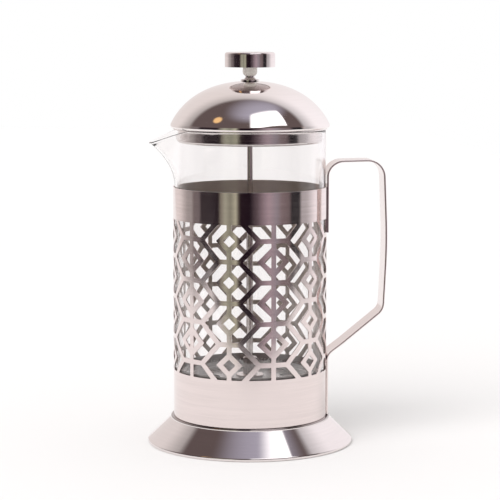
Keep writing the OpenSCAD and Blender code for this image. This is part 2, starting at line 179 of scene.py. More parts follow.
def turned(name, outline, around=224):
    """A closed outline of (radius, height) turned about the axis."""
    points, faces, count = [], [], len(outline)
    for j in range(around):
        a = 2 * math.pi * j / around
        points += [(p[0] * math.cos(a), p[0] * math.sin(a), p[1]) for p in outline]
    for j in range(around):
        here, after = j * count, (j + 1) % around * count
        for i in range(count):
            k = (i + 1) % count
            if outline[i][0] > ON_AXIS or outline[k][0] > ON_AXIS:
                faces.append((here + i, after + i, after + k, here + k))
    return finish_mesh(make_piece(name, points, faces))


def coat(obj, material):
    """The material goes on every face."""
    obj.data.materials.clear()
    obj.data.materials.append(material)


def stands_for(piece, material, node, body):
    """The piece, in its material, replaces a measured part, and moves and is finished as that part is."""
    coat(piece, material)
    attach(piece, body)
    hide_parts(node)


# %% [markdown]
# ## The camera
# It stands 1.26 m away, a little to the spout's side of square on, slightly above the lid and looking down
# seven degrees. A long lens keeps the upright lines almost parallel.

# %% Camera
CAMERA_TURN = math.radians(6)
CAMERA_DISTANCE = 1.2554
CAMERA_HEIGHT = 0.277
CAMERA_TILT = math.radians(6.92)
camera = bpy.data.objects.new("camera", bpy.data.cameras.new("camera"))
bpy.context.scene.collection.objects.link(camera)
camera.location = (-CAMERA_DISTANCE * math.sin(CAMERA_TURN),
                   -CAMERA_DISTANCE * math.cos(CAMERA_TURN), CAMERA_HEIGHT)
camera.rotation_euler = (math.pi / 2 - CAMERA_TILT, 0, -CAMERA_TURN)
camera.data.sensor_width = 36
camera.data.lens = 140.87
bpy.context.scene.camera = camera
print("camera at", [round(x, 3) for x in camera.location])

# %% [markdown]
# ## Wiring shader nodes
# Materials are drawn as node trees. This small bench keeps each one readable: it adds a node, joins what it
# is given, and hands back the socket to go on from.

# %% Node bench
class Bench:
    """Adds nodes to one tree. A value may be a number, a colour, or another node's output."""

    def __init__(self, tree):
        self.tree = tree

    def join(self, value, socket):
        """A link if the value is another node's output, or else the value itself."""
        if isinstance(value, bpy.types.NodeSocket):
            self.tree.links.new(value, socket)
        else:
            socket.default_value = value

    def add(self, kind, inputs=None, **settings):
        """A new node. Its inputs are named, or numbered where several share a name."""
        node = self.tree.nodes.new("ShaderNode" + kind)
        for key, value in settings.items():
            setattr(node, key, value)
        for key, value in (inputs or {}).items():
            self.join(value, node.inputs[key])
        return node

    def sum(self, operation, *values):
        """The result of a Math node."""
        return self.add("Math", dict(enumerate(values)), operation=operation).outputs[0]

    def dot(self, a, b):
        return self.add("VectorMath", {0: a, 1: b}, operation="DOT_PRODUCT").outputs["Value"]

    def smooth(self, value, start, end, low=0.0, high=1.0):
        """low at start, high at end, eased between them."""
        inputs = {"Value": value, "From Min": start, "From Max": end, "To Min": low, "To Max": high}
        return self.add("MapRange", inputs, interpolation_type="SMOOTHSTEP").outputs["Result"]

    def mix(self, share, a, b, blend="MIX"):
        """Two colours mixed. The node has sockets for other kinds too: its colours are 6 and 7 in, 2 out."""
        return self.add("Mix", {0: share, 6: a, 7: b}, data_type="RGBA", blend_type=blend).outputs[2]

    def noise(self, vector, scale, detail=2.0, roughness=0.5):
        return self.add("TexNoise", {"Vector": vector, "Scale": scale, "Detail": detail,
                                     "Roughness": roughness}).outputs[0]


def tone(r, g, b):
    """A colour as a shader socket wants it."""
    return (r, g, b, 1.0)


# %% [markdown]
# ## The studio
# Polished steel has hardly any colour of its own: what shows in it is the room. So the room is drawn with
# care. The press stands on a white table before a white backdrop that curls up and over, behind a line a
# little behind the top of the head. In front is a dim room with a few tall panels in it, and a softbox
# hangs above it on the right. The table ends a little over a third of a metre in front, which is why the
# sleeve's foot is bright and its top band is dark.
#
# The room is painted on the world as directions. Steel sees all of it. The camera, and what it sees through
# the glass, gets plain white, and matt surfaces get plain soft light.

# %% Directions in the room
room = bpy.data.worlds.new("studio")
bpy.context.scene.world = room
room.use_nodes = True
room.node_tree.nodes.clear()
room.cycles.sampling_method = "NONE"
sky = Bench(room.node_tree)
looking = sky.add("TexCoord").outputs["Generated"]
TO_RIGHT = (math.cos(CAMERA_TURN), -math.sin(CAMERA_TURN), 0)
TO_FRONT = (-math.sin(CAMERA_TURN), -math.cos(CAMERA_TURN), 0)


def way(degrees_round, degrees_up):
    """A direction: degrees to the right of straight in front, and degrees above level."""
    turn, up = math.radians(degrees_round), math.radians(degrees_up)
    x, y = (math.cos(up) * (math.sin(turn) * r + math.cos(turn) * f)
            for r, f in zip(TO_RIGHT[:2], TO_FRONT[:2]))
    return x, y, math.sin(up)


def patch(centre, edge, full):
    """A round patch about a direction: 0 at edge degrees from it, 1 at full degrees from it."""
    return sky.smooth(sky.dot(looking, centre), math.cos(math.radians(edge)), math.cos(math.radians(full)))


right = sky.dot(looking, TO_RIGHT)
front = sky.dot(looking, TO_FRONT)
height = sky.dot(looking, (0, 0, 1))
print("room turned by", round(math.degrees(CAMERA_TURN), 1), "degrees")

# %% [markdown]
# The panels are a list of directions in degrees, 0 straight in front and positive to the right, each with
# the light that comes from it. A colour ramp blends from each to the next.

# %% The dim room and its panels
PANELS = [(-104, (0.36, 0.31, 0.30)), (-92, (0.20, 0.17, 0.17)), (-82, (0.19, 0.16, 0.165)),
          (-77, (0.04, 0.03, 0.034)), (-48, (0.02, 0.012, 0.017)), (-44, (0.24, 0.22, 0.18)),
          (-37, (0.42, 0.425, 0.33)), (-29, (0.27, 0.27, 0.21)), (-21, (0.50, 0.50, 0.38)),
          (-17, (0.12, 0.105, 0.09)), (-14, (0.02, 0.01, 0.015)), (0, (0.015, 0.008, 0.013)),
          (12, (0.14, 0.105, 0.12)), (20, (0.30, 0.235, 0.265)), (28, (0.43, 0.34, 0.38)),
          (40, (0.32, 0.285, 0.32)), (48, (0.24, 0.19, 0.20)), (60, (0.18, 0.14, 0.145)),
          (65, (0.03, 0.027, 0.03)), (80, (0.03, 0.027, 0.03)), (87, (0.62, 0.53, 0.51)),
          (100, (0.60, 0.50, 0.49))]
full_turns = sky.sum("DIVIDE", sky.sum("ARCTAN2", right, front), 2 * math.pi)
around = sky.sum("ADD", full_turns, 0.5)  # straight in front lies at the ramp's middle
ramp = sky.add("ValToRGB", {"Fac": around})
stops = ramp.color_ramp.elements
for stop, (degrees, light) in zip(stops, (PANELS[0], PANELS[-1])):
    stop.position = 0.5 + degrees / 360
    stop.color = tone(*light)
for degrees, light in PANELS[1:-1]:
    stops.new(0.5 + degrees / 360).color = tone(*light)
DIM = tone(0.135, 0.102, 0.10)
PANEL_TOPS = (0.55, 0.30)  # heights between which the panels fade in, going down
low_down = sky.smooth(height, *PANEL_TOPS)
dim_room = sky.mix(low_down, DIM, ramp.outputs["Color"])
print("panels in the room:", len(PANELS))

# %% Backdrop
BACKDROP_LEAN = 3.49  # its edge crosses behind the zenith, 16 degrees from it
BACKDROP_TURN = math.radians(7)  # and it faces a little to the left
EDGE_BLUR = 0.25
PAPER_LEFT, PAPER_RIGHT = tone(0.86, 0.80, 0.785), tone(1.10, 1.06, 1.09)
OVERHEAD_SHADE = 0.46  # the paper overhead gets less light than the paper behind
to_back = sky.sum("ADD", sky.sum("MULTIPLY", front, -math.cos(BACKDROP_TURN)),
                  sky.sum("MULTIPLY", right, math.sin(BACKDROP_TURN)))
past_edge = sky.sum("SUBTRACT", sky.sum("MULTIPLY", to_back, BACKDROP_LEAN), height)
behind = sky.smooth(past_edge, -EDGE_BLUR, EDGE_BLUR)
paper = sky.mix(sky.smooth(right, -0.3, 0.7), PAPER_LEFT, PAPER_RIGHT)
backdrop = sky.mix(1.0, paper, sky.smooth(to_back, 0.1, 0.6, OVERHEAD_SHADE, 1.0), "MULTIPLY")
studio = sky.mix(behind, dim_room, backdrop)
print("backdrop turned by", round(math.degrees(BACKDROP_TURN)), "degrees")

# %% [markdown]
# The ceiling in front of the backdrop catches a faint glow. The softbox is a flat panel overhead: dividing
# a direction by its height gives the place where it meets the ceiling, and there the panel has four
# straight edges, each eased over a short way. A small warm lamp hangs on the left.

# %% Glow, softbox and lamp
GLOW, WARM_LAMP, SOFTBOX = tone(0.46, 0.44, 0.53), tone(1.05, 0.66, 0.30), tone(1.9, 1.9, 1.95)
glow = sky.sum("MULTIPLY", patch(way(45, 60), edge=52, full=12), sky.smooth(height, 0.80, 0.96))
studio = sky.mix(sky.sum("MULTIPLY", glow, sky.sum("SUBTRACT", 1.0, behind)), studio, GLOW)

overhead = sky.sum("MAXIMUM", height, 0.02)  # never zero, because it divides
across = sky.sum("DIVIDE", right, overhead)
ahead = sky.sum("DIVIDE", front, overhead)
left_edge = sky.smooth(across, -0.03, 0.06)
far_edge = sky.smooth(sky.sum("MULTIPLY_ADD", across, 0.69, ahead), 1.14, 1.06)
right_edge = sky.smooth(sky.sum("MULTIPLY_ADD", ahead, -1.27, across), 0.50, 0.42)
near_edge = sky.smooth(sky.sum("MULTIPLY_ADD", across, 0.7, ahead), 0.26, 0.40)
softbox = left_edge
for edge in (far_edge, right_edge, near_edge, sky.smooth(height, 0.1, 0.2)):
    softbox = sky.sum("MULTIPLY", softbox, edge)
studio = sky.mix(softbox, studio, SOFTBOX)

studio = sky.mix(patch(way(-69, 52.5), edge=6.3, full=3.2), studio, WARM_LAMP)
print("glow, softbox and lamp hung")

# %% Who sees which light
path = sky.add("LightPath")
matt = sky.sum("GREATER_THAN", path.outputs["Diffuse Depth"], 0.5)
shiny = sky.sum("GREATER_THAN", path.outputs["Glossy Depth"], 0.5)
WHITE, SOFT_LIGHT = tone(1.0, 1.0, 1.0), tone(0.82, 0.815, 0.815)
light = sky.mix(matt, sky.mix(shiny, WHITE, studio), SOFT_LIGHT)
background = sky.add("Background", {"Color": light, "Strength": 1.0})
world_out = sky.add("OutputWorld")
sky.join(background.outputs[0], world_out.inputs["Surface"])
bpy.context.scene.view_settings.view_transform = "Standard"
print("world nodes:", len(room.node_tree.nodes))

# %% [markdown]
# ## Table and key light
# The table is a plain white sheet. Its front edge is near, because the dark room in front of it has to show
# in the upper sleeve. One large lamp, high in front on the left, gives the soft shadow that falls away to
# the right.

# %% Table and key light
TABLE_FRONT, TABLE_BACK, TABLE_SIDE = -370, 3500, 750
A_HAIR = 0.0001  # metres, so that the foot doesn't share the table's plane
table = make_piece("table", [(-TABLE_SIDE, TABLE_FRONT, 0), (TABLE_SIDE, TABLE_FRONT, 0),
                             (TABLE_SIDE, TABLE_BACK, 0), (-TABLE_SIDE, TABLE_BACK, 0)], [(0, 1, 2, 3)])
table.location.z = -A_HAIR
table_paint = bpy.data.materials.new("table_paint")
table_paint.use_nodes = True
paint = table_paint.node_tree.nodes["Principled BSDF"]
paint.inputs["Base Color"].default_value = tone(0.90, 0.885, 0.88)
paint.inputs["Roughness"].default_value = 0.9
paint.inputs["Specular IOR Level"].default_value = 0.1
table.data.materials.append(table_paint)

key = bpy.data.objects.new("key_light", bpy.data.lights.new("key_light", "SUN"))
bpy.context.scene.collection.objects.link(key)
key.data.angle = math.radians(52)
key.data.energy = 1.7
key.location = (-0.62, -0.80, 0.85)
key.rotation_euler = (-key.location).to_track_quat("-Z", "Y").to_euler()
key.visible_camera = False
key.visible_glossy = False
key.visible_transmission = False
print("key light at", list(key.location))

# %% [markdown]
# ## Shared finishes
# Brushing, handling and wear show on several metals, so each is one node group, built once and set for each
# metal. The brushed grain is noise pulled out long in the direction that the abrasive belt ran.

# %% Group helper and brushed grain
def new_group(name, inputs, outputs):
    """An empty shader group with named sockets; returns its bench, its inputs and its output node."""
    group = bpy.data.node_groups.new(name, "ShaderNodeTree")
    for label, kind, start in inputs:
        socket = group.interface.new_socket(label, in_out="INPUT", socket_type="NodeSocket" + kind)
        socket.default_value = start
    for label in outputs:
        group.interface.new_socket(label, in_out="OUTPUT", socket_type="NodeSocketFloat")
    bench = Bench(group)
    entry = group.nodes.new("NodeGroupInput")
    leave = group.nodes.new("NodeGroupOutput")
    return group, bench, entry.outputs, leave.inputs


grain, bench, given, gives = new_group(
    "brushed_grain", [("Spacing", "Vector", (60, 60, 2400)), ("Round", "Float", 0.0)], ["Streaks", "Height"])
place = bench.add("TexCoord").outputs["Object"]
flat = bench.add("VectorMath", {0: place, 1: (1, 1, 0)}, operation="MULTIPLY")
from_axis = bench.add("VectorMath", {0: flat.outputs[0]}, operation="LENGTH").outputs["Value"]
ringed = bench.add("CombineXYZ", {"X": bench.sum("MULTIPLY", from_axis, given["Round"])})
pulled = bench.add("VectorMath", {0: place, 1: given["Spacing"], 2: ringed.outputs[0]},
                   operation="MULTIPLY_ADD")
fine = bench.noise(pulled.outputs[0], scale=1.0, detail=4.0, roughness=0.65)
broad = bench.noise(pulled.outputs[0], scale=0.22)
FINE_SHARE = 0.65
streaks = bench.sum("ADD", bench.sum("MULTIPLY", fine, FINE_SHARE),
                    bench.sum("MULTIPLY", broad, 1 - FINE_SHARE))
bench.join(bench.smooth(streaks, 0.34, 0.66), gives["Streaks"])
bench.join(fine, gives["Height"])
print("group", grain.name, "with", len(grain.nodes), "nodes")

# %% [markdown]
# Handling leaves faint cloudy patches where fingers and cloths have been, and they change the gloss and not
# the colour. Edges that are rubbed turn a little brighter than the faces beside them.

# %% Handling marks and rubbed edges
handling, bench, given, gives = new_group(
    "handling_marks", [("Size", "Float", 30.0), ("Sharpness", "Float", 0.12)], ["Marks"])
place = bench.add("TexCoord").outputs["Object"]
cloud = bench.noise(place, given["Size"], detail=4.0, roughness=0.6)
MIDDLE = 0.54  # the cloud's level at the edge of a mark
edge_low = bench.sum("SUBTRACT", MIDDLE, given["Sharpness"])
edge_high = bench.sum("ADD", MIDDLE, given["Sharpness"])
bench.join(bench.smooth(cloud, edge_low, edge_high), gives["Marks"])

rubbed, bench, given, gives = new_group(
    "rubbed_edges", [("Start", "Float", 0.53), ("Full", "Float", 0.60)], ["Wear"])
sharpness = bench.add("NewGeometry").outputs["Pointiness"]
bench.join(bench.smooth(sharpness, given["Start"], given["Full"]), gives["Wear"])
print("groups:", handling.name, rubbed.name)

# %% [markdown]
# ## Metals
# One recipe serves every steel: a body colour with a lighter and a darker streak, a roughness that the
# grain and the handling vary, and a grain height that tips the surface. Brushed steel scatters light across
# its grain, so it is given anisotropy about the press's axis, and upright lights stretch into the tall soft
# streaks that brushed cylinders show.
#
# Where the sleeve is welded to its base, a dark line is painted on both: painted shade for the crevice
# between them, with some heat tint. The neck, the unpolished inside of the sleeve and the pressed plates
# scatter more light than a mirror does, so they are given less than full metal.

# %% Metal recipe
def new_material(name):
    material = bpy.data.materials.new(name)
    material.use_nodes = True
    shader = material.node_tree.nodes["Principled BSDF"]
    return material, Bench(material.node_tree), shader


def use_group(bench, group, **values):
    node = bench.add("Group")
    node.node_tree = group
    for key, value in values.items():
        node.inputs[key].default_value = value
    return node.outputs


# The second colour is painted shade for the crevice at the sleeve's weld, with some heat tint.
RUBBED, JOINT_SHADE_AND_HEAT_TINT = tone(0.86, 0.82, 0.81), tone(0.10, 0.07, 0.065)
JOINT_SHADE_DEPTH, GRAIN_DEPTH = 0.65, 0.6
QUARTER_TURN = 0.25  # swings the stretch of the highlights by 90 degrees


def steel(name, colour, rough, spacing, ring=0.0, contrast=0.1, rough_spread=0.05, height=0.000004,
          stretch=0.0, marks=0.04, metal=1.0, rubbing=0.35, joint_shade=None):
    """A steel finish. Spacing is the grain's lines to the metre along x, y and z.

    A joint shade is two heights in millimetres: clean at the first, and darkened from the second on, painted
    shade for the crevice with some heat tint.
    """
    material, bench, shader = new_material(name)
    lines = use_group(bench, grain, Spacing=spacing, Round=ring)
    cloudy = use_group(bench, handling)["Marks"]
    wear = use_group(bench, rubbed)["Wear"]
    dark = tone(*(c * (1 - contrast) for c in colour))
    pale = tone(*(min(1, c * (1 + contrast)) for c in colour))
    body = bench.mix(lines["Streaks"], dark, pale)
    body = bench.mix(bench.sum("MULTIPLY", wear, rubbing), body, RUBBED)
    # Painted shade: past the joint's second height the colour darkens, standing in for the crevice's shade
    # and some heat tint.
    if joint_shade:
        up = bench.add("SeparateXYZ", {"Vector": bench.add("TexCoord").outputs["Object"]}).outputs["Z"]
        painted_shade = bench.smooth(up, joint_shade[0] * MM, joint_shade[1] * MM, 0.0, JOINT_SHADE_DEPTH)
        body = bench.mix(painted_shade, body, JOINT_SHADE_AND_HEAT_TINT)
    bench.join(body, shader.inputs["Base Color"])
    gloss = bench.sum("MULTIPLY_ADD", lines["Streaks"], rough_spread, rough - rough_spread / 2)
    gloss = bench.sum("MULTIPLY_ADD", cloudy, marks, gloss)
    bench.join(gloss, shader.inputs["Roughness"])
    shader.inputs["Metallic"].default_value = metal
    bump = bench.add("Bump", {"Height": lines["Height"], "Strength": GRAIN_DEPTH, "Distance": height})
    bench.join(bump.outputs[0], shader.inputs["Normal"])
    if stretch:
        shader.inputs["Anisotropic"].default_value = stretch
        shader.inputs["Anisotropic Rotation"].default_value = QUARTER_TURN
        tangent = bench.add("Tangent", direction_type="RADIAL", axis="Z")
        bench.join(tangent.outputs[0], shader.inputs["Tangent"])
    return material


# The sleeve and the flared base both get painted crevice shade at the weld, with some heat tint.
brushed = steel("brushed_steel", (0.79, 0.70, 0.685), 0.10, (40, 40, 2600), contrast=0.05, stretch=0.75,
                rough_spread=0.03, height=0.000001, marks=0.01, rubbing=0.0,
                joint_shade=(sleeve_low + 0.5, sleeve_low + 0.1))
brushed_strip = steel("brushed_strip", (0.80, 0.72, 0.705), 0.15, (40, 2400, 40), contrast=0.05,
                      rough_spread=0.03, height=0.0000015, marks=0.02)
polished = steel("polished_steel", (0.86, 0.805, 0.79), 0.045, (30, 30, 900), contrast=0.015,
                 rough_spread=0.015, height=0.000001, marks=0.03)
flare_polish = steel("flare_polish", (0.80, 0.745, 0.735), 0.045, (30, 30, 900), contrast=0.02,
                     rough_spread=0.015, height=0.000001, marks=0.03,
                     joint_shade=(sleeve_low - 0.8, sleeve_low - 0.4))
turned_bright = steel("turned_bright", (0.74, 0.69, 0.675), 0.13, (60, 60, 2600), ring=2600, contrast=0.06,
                      height=0.0000015)
knob_steel = steel("knob_steel", (0.78, 0.71, 0.70), 0.12, (40, 40, 2800), ring=2800, contrast=0.08,
                   stretch=0.6, height=0.0000015, marks=0.02)
neck_steel = steel("neck_steel", (0.95, 0.90, 0.83), 0.45, (60, 60, 2600), contrast=0.03, height=0.000003,
                   metal=0.15)
core_steel = steel("core_steel", (0.50, 0.45, 0.45), 0.36, (60, 60, 2600), contrast=0.05, height=0.000003)
mill_steel = steel("mill_steel", (0.97, 0.80, 0.70), 0.36, (60, 60, 60), contrast=0.06, height=0.000003,
                   metal=0.25, rubbing=0.0)
pressed_steel = steel("pressed_steel", (0.97, 0.94, 0.93), 0.14, (110, 110, 110), contrast=0.08,
                      height=0.0003, metal=0.35, rubbing=0.0)
print("materials so far:", [m.name for m in bpy.data.materials])

# %% [markdown]
# ## Glass
# Borosilicate glass is almost without colour. The wall is modelled with its real thickness, so the
# refraction at the rim and along the sides comes by itself. Faint draw lines from the mould tint it a very
# little, and handling leaves faint clouds in its gloss.

# %% Glass
glass, bench, shader = new_material("clear_glass")
draw = use_group(bench, grain, Spacing=(120, 120, 25), Round=0.0)
cloudy = use_group(bench, handling, Size=22.0)["Marks"]
tint = bench.mix(draw["Streaks"], tone(0.985, 0.975, 0.975), tone(1.0, 0.995, 0.995))
bench.join(tint, shader.inputs["Base Color"])
bench.join(bench.sum("MULTIPLY", cloudy, 0.012), shader.inputs["Roughness"])
shader.inputs["Metallic"].default_value = 0.0
shader.inputs["Transmission Weight"].default_value = 1.0
shader.inputs["IOR"].default_value = 1.47
print("glass ready")

# %% [markdown]
# ## Woven wire
# The filter is woven from fine steel wire. Two waves at right angles, multiplied, give the chequer of over
# and under that a plain weave shows. On the flat the waves run along x and y. On the upturned rim one runs
# round the axis and the other up it.

# %% Woven wire
mesh_steel, bench, shader = new_material("steel_mesh")
WIRES_PER_METRE = 1250
MESH_RADIUS, RIM_STARTS = 0.0465, 0.0455  # metres
spot = bench.add("SeparateXYZ", {"Vector": bench.add("TexCoord").outputs["Object"]}).outputs
from_axis = bench.sum("SQRT", bench.sum("ADD", *(bench.sum("MULTIPLY", spot[k], spot[k]) for k in (0, 1))))
on_rim = bench.sum("GREATER_THAN", from_axis, RIM_STARTS)
on_flat = bench.sum("SUBTRACT", 1.0, on_rim)
round_rim = bench.sum("MULTIPLY", bench.sum("ARCTAN2", spot[1], spot[0]), MESH_RADIUS)


def thread_wave(on_the_rim, on_the_flat):
    """The wave of one set of wires, which follows one measure on the rim and another on the flat."""
    along = bench.sum("ADD", bench.sum("MULTIPLY", on_the_rim, on_rim),
                      bench.sum("MULTIPLY", on_the_flat, on_flat))
    return bench.sum("SINE", bench.sum("MULTIPLY", along, 2 * math.pi * WIRES_PER_METRE))


warp_wave, weft_wave = thread_wave(round_rim, spot[0]), thread_wave(spot[2], spot[1])
over = bench.sum("MULTIPLY_ADD", bench.sum("MULTIPLY", warp_wave, weft_wave), 0.5, 0.5)
# Painted shade: where the wires dip under they are coloured darker, for the shade in the weave's hollows.
weave_shade_tone = bench.mix(over, tone(0.34, 0.31, 0.30), tone(0.90, 0.86, 0.845))
bench.join(weave_shade_tone, shader.inputs["Base Color"])
bench.join(bench.sum("MULTIPLY_ADD", over, -0.12, 0.38), shader.inputs["Roughness"])
shader.inputs["Metallic"].default_value = 1.0
weave_bump = bench.add("Bump", {"Height": over, "Strength": 0.7, "Distance": 0.0002})
bench.join(weave_bump.outputs[0], shader.inputs["Normal"])
print("mesh ready")

# %% [markdown]
# ## The pierced sleeve
# The real sleeve is a flat strip, pierced with a repeating pattern, then rolled and welded behind the
# handle. It is made here in the same order, because a flat drawing is easy to lay out exactly: draw the
# windows, fill the sheet around them, slice it into narrow strips so that it can bend, and roll it round
# the glass.
#
# The pattern has eleven columns. Each is an upright bar with diamonds strung on it, and the gaps between
# the bars are bridged by short cross bars and by a zigzag strip shared by two neighbours.

# %% Pattern measurements
COLUMNS = 11
ROW_PITCH, FIRST_ROW = 26.1, 10.1
STRUT, BAR, STRIP = 3.1, 3.0, 3.2
TOP_BAND, BOTTOM_BAND = 20.2, 30.7
FIRST_TURN = 19.6  # degrees from the weld behind the handle to the first column
DIAMOND_RISE = 0.95  # height of a diamond over its width
LEAST_WINDOW = 1  # no window is cut where less than this of it would show
strip_length = 2 * math.pi * sleeve_r
pitch = strip_length / COLUMNS
half_row = ROW_PITCH / 2
window_half = half_row - BAR / 2
lattice_low, lattice_high = sleeve_low + BOTTOM_BAND, sleeve_high - TOP_BAND
BARS = (0.325 * pitch, 0.24 * pitch)  # half lengths of the cross bars: even columns, odd columns
DIAMONDS = (0.3 * pitch, 0.224 * pitch)  # half widths of the diamonds
diamond_strip = STRIP * math.hypot(1, 1 / DIAMOND_RISE)
zigzag_run = (pitch - sum(BARS)) / half_row
zigzag_strip = STRIP * math.hypot(1, zigzag_run)
print(f"column pitch {pitch:.2f}, row pitch {ROW_PITCH} mm")

# %% Windows of the pattern
def clipped(points, z):
    """The part of an outline, drawn round height z, that lies inside the pierced band."""
    for level, keep in ((lattice_low - z, 1), (lattice_high - z, -1)):
        kept = []
        for a, b in zip(points, points[1:] + points[:1]):
            a_in, b_in = (a[1] - level) * keep >= 0, (b[1] - level) * keep >= 0
            if a_in:
                kept.append(a)
            if a_in != b_in:
                t = (level - a[1]) / (b[1] - a[1])
                kept.append((a[0] + t * (b[0] - a[0]), level))
        points = kept
    return points


def windows_at(column, z):
    """Outlines of one side of a cell, as (distance from the bar's middle, height from z).

    The first is the space between the bar and the zigzag. The second, where a diamond fits, is its inside.
    """
    even = column % 2 == 0
    half_width = pitch - BARS[1 if even else 0]
    diamond = DIAMONDS[0 if even else 1]
    bar = STRUT / 2
    tall = (diamond + diamond_strip / 2) * DIAMOND_RISE
    fits = z + tall <= lattice_high and z - tall >= lattice_low
    reach = half_width - zigzag_strip / 2
    corner = reach - window_half * zigzag_run
    edge = [(corner, window_half), (reach, 0), (corner, -window_half), (bar, -window_half)]
    outer = diamond + diamond_strip / 2
    notch = (outer - bar) * DIAMOND_RISE
    cell = edge + ([(bar, -notch), (outer, 0), (bar, notch)] if fits else []) + [(bar, window_half)]
    found = [clipped(cell, z)]
    if fits:
        inner = diamond - diamond_strip / 2
        side = bar if even else 0
        rise = (inner - side) * DIAMOND_RISE
        found.append([(side, -rise), (inner, 0), (side, rise)])
    return found


def pattern_windows():
    """Every window of the strip, as outlines of (distance along the strip, height)."""
    windows = []
    for column in range(COLUMNS):
        even = column % 2 == 0
        middle = FIRST_TURN / 360 * strip_length + column * pitch
        for row in range(-1, 24, 2):
            z = lattice_high - FIRST_ROW - half_row * (row - (0 if even else 1))
            if z - window_half > lattice_high - LEAST_WINDOW or z + window_half < lattice_low + LEAST_WINDOW:
                continue
            outlines = windows_at(column, z)
            for side in (-1, 1):
                at_seam = (column == 0 and side < 0) or (column == COLUMNS - 1 and side > 0)
                for outline in outlines[:0 if at_seam else 2 if even else 1]:
                    windows.append([(middle + side * u, z + h) for u, h in outline])
            if not even and len(outlines) > 1:
                low, tip, high = outlines[1]
                windows.append([(middle + u, z + h) for u, h in (low, tip, high, (-tip[0], 0))])
    return windows


def eased(outline, r=0.35):
    """The outline with its corners eased as a punch leaves them."""
    loop = [(x, y, r) for x, y in outline]
    count = len(loop)
    smooth = []
    for i in range(count):
        a, b, c = loop[i - 1], loop[i], loop[(i + 1) % count]
        smooth += bent([(a[0], a[1], 0), b, (c[0], c[1], 0)], steps=3)[1:-1]
    return [tuple(p) for p in smooth]


windows = [eased(w) for w in pattern_windows()]
print("windows in the strip:", len(windows))

# %% [markdown]
# Filling and slicing are mesh work. The sheet's outline and its windows go in as loops of edges, a triangle
# fill closes the steel between them, and a cut every two and a half degrees lets it roll without creases.
# The two faces and all the cut edges are then written out, and each face is told to shade as the true
# cylinder.

# %% Fill, slice and roll the strip
SLICES = 144
ON_A_SLICE, AT_THE_WELD = 1e-5, 1e-4  # a point this close to it counts as there


def flat_strip():
    """The pierced sheet, filled and sliced, as points (along, height) and faces."""
    bm = bmesh.new()
    edge_loop = [(0, sleeve_low), (strip_length, sleeve_low), (strip_length, sleeve_high), (0, sleeve_high)]
    for loop in [edge_loop] + windows:
        verts = [bm.verts.new((u, z, 0)) for u, z in loop]
        for a, b in zip(verts, verts[1:] + verts[:1]):
            bm.edges.new((a, b))
    bmesh.ops.triangle_fill(bm, use_beauty=True, use_dissolve=False, edges=bm.edges)
    for i in range(1, SLICES):
        geometry = bm.verts[:] + bm.edges[:] + bm.faces[:]
        bmesh.ops.bisect_plane(bm, geom=geometry, dist=ON_A_SLICE,
                               plane_co=(strip_length * i / SLICES, 0, 0), plane_no=(1, 0, 0))
    bm.verts.index_update()
    points = [(v.co.x, v.co.y) for v in bm.verts]
    faces = []
    for f in bm.faces:
        corners = [v.index for v in f.verts]
        faces.append(corners if f.normal.z > 0 else corners[::-1])
    bm.free()
    return points, faces


def rolled(points, faces):
    """The strip rolled to the sleeve's radius, with its thickness and its cut edges."""
    count = len(points)
    solid = []
    for r in (sleeve_r, sleeve_r - SHEET):
        solid += [(r * math.cos(u / sleeve_r), r * math.sin(u / sleeve_r), z) for u, z in points]
    used = dict.fromkeys((a, b) for f in faces for a, b in zip(f, f[1:] + f[:1]))  # keeps their order
    walls = []
    for a, b in used:
        at_weld = any(all(abs(points[k][0] - end) < AT_THE_WELD for k in (a, b)) for end in (0, strip_length))
        if (b, a) not in used and not at_weld:
            walls.append((b, a, a + count, b + count))
    return solid, faces + [[k + count for k in f[::-1]] for f in faces] + walls


points, faces = flat_strip()
solid, skin = rolled(points, faces)
sleeve = make_piece("pierced_sleeve", solid, skin)
print("strip:", len(points), "points,", len(faces), "faces")

# %% Shade the sleeve as a true cylinder
CLOSES_WELD = 2e-6  # metres, joins the strip's two ends
NEARLY_FLAT = 0.9  # a face that looks along the radius at least this much is rolled


def shade_as_cylinder(obj):
    """Rolled faces take the cylinder's own normals; cut edges stay flat. Inner faces get material 1."""
    bm = bmesh.new()
    bm.from_mesh(obj.data)
    bmesh.ops.remove_doubles(bm, verts=bm.verts, dist=CLOSES_WELD)
    bmesh.ops.dissolve_degenerate(bm, dist=SAME_POINT, edges=bm.edges)
    bm.to_mesh(obj.data)
    bm.free()
    mesh = obj.data
    mesh.polygons.foreach_set("use_smooth", [True] * len(mesh.polygons))
    normals = [None] * len(mesh.loops)
    for p in mesh.polygons:
        outward = Vector((p.center.x, p.center.y, 0)).normalized()
        facing = p.normal.dot(outward)
        for i in p.loop_indices:
            v = mesh.vertices[mesh.loops[i].vertex_index].co
            radial = Vector((v.x, v.y, 0)).normalized()
            normals[i] = radial * math.copysign(1, facing) if abs(facing) > NEARLY_FLAT else p.normal
        p.material_index = 1 if facing < -NEARLY_FLAT else 0
    mesh.normals_split_custom_set(normals)


stands_for(sleeve, brushed, "sleeve", "frame")
sleeve.data.materials.append(mill_steel)
shade_as_cylinder(sleeve)
print("sleeve faces:", len(sleeve.data.polygons))

# %% [markdown]
# ## The flared base
# Spun from thicker sheet and polished. It runs from a flat ring under the sleeve, over a narrow ledge that
# stands out round the sleeve's foot, down a straight flare to a short upright edge, and turns in at the
# foot, so that the press stands on a flat ring.

